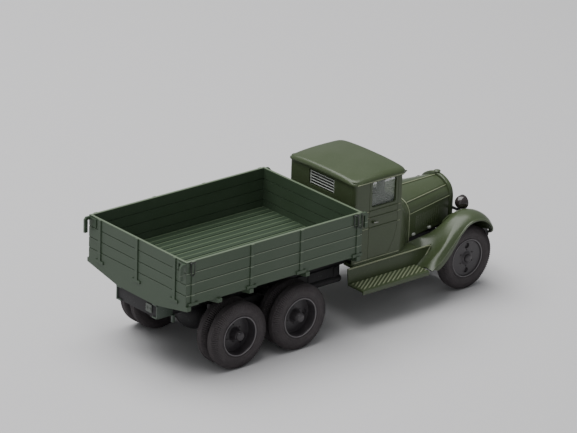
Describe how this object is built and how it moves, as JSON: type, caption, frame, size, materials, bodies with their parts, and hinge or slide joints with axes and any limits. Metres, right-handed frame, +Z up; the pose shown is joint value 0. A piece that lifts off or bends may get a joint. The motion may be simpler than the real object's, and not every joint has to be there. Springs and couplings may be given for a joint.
{
  "type": "scale model of a three-axle army cargo truck",
  "caption": "Collector's scale model of a pre-war three-axle army cargo truck with an open plank load bed, closed cab, long hood and free-turning wheels on plain rods.",
  "frame": {"origin": "middle of the model's length and width, on the plane that its tyres stand on", "axes": "+X forward, +Y to the left of the truck, +Z up"},
  "size_m": [0.143, 0.0516, 0.0504],
  "materials": {
    "body_green": "satin",
    "bed_green": "satin",
    "chassis_black": "satin",
    "tyre_black": "matte",
    "wheel_green": "satin",
    "steel": "satin",
    "cabin_black": "matte",
    "clear_pane": "gloss",
    "lamp_pane": "gloss",
    "guard_grey": "satin"
  },
  "bodies": {
    "truck": {"bed_beams": "bed_green", "bed_floor": "bed_green", "bed_front": "bed_green", "bed_latches": "bed_green", "bed_side_left": "bed_green", "bed_side_right": "bed_green", "bogie_springs": "chassis_black", "bogie_trunnion": "chassis_black", "bumper": "chassis_black", "cab_roof": "body_green", "cab_shell": "body_green", "cowl": "body_green", "crossmembers": "chassis_black", "dashboard": "cabin_black", "door_left": "body_green", "door_right": "body_green", "driveline": "chassis_black", "engine": "chassis_black", "fender_left": "body_green", "fender_right": "body_green", "front_axle": "chassis_black", "front_springs": "chassis_black", "headlamp_lenses": "lamp_pane", "headlamps": "chassis_black", "hood": "body_green", "lamp_bar": "chassis_black", "middle_axle_housing": "chassis_black", "muffler": "chassis_black", "radiator_core": "chassis_black", "radiator_shell": "body_green", "rail_left": "chassis_black", "rail_right": "chassis_black", "rear_axle_housing": "chassis_black", "rear_guard": "guard_grey", "running_board_left": "body_green", "running_board_right": "body_green", "seat": "cabin_black", "side_windows": "clear_pane", "steering_wheel": "cabin_black", "tailgate": "bed_green", "windscreen": "clear_pane"},
    "front_wheelset": {"front_rod": "steel", "front_wheels": "wheel_green", "front_tyres": "tyre_black"},
    "middle_wheelset": {"middle_rod": "steel", "middle_wheels": "wheel_green", "middle_tyres": "tyre_black"},
    "rear_wheelset": {"rear_rod": "steel", "rear_wheels": "wheel_green", "rear_tyres": "tyre_black"}
  },
  "joints": [
    {"name": "front_roll", "type": "hinge", "parent": "truck", "child": "front_wheelset", "pos_m": [0.05705, 0, 0.0112], "axis": [0, 1, 0], "continuous": true},
    {"name": "middle_roll", "type": "hinge", "parent": "truck", "child": "middle_wheelset", "pos_m": [-0.021, 0, 0.0112], "axis": [0, 1, 0], "continuous": true},
    {"name": "rear_roll", "type": "hinge", "parent": "truck", "child": "rear_wheelset", "pos_m": [-0.0461, 0, 0.0112], "axis": [0, 1, 0], "continuous": true}
  ]
}
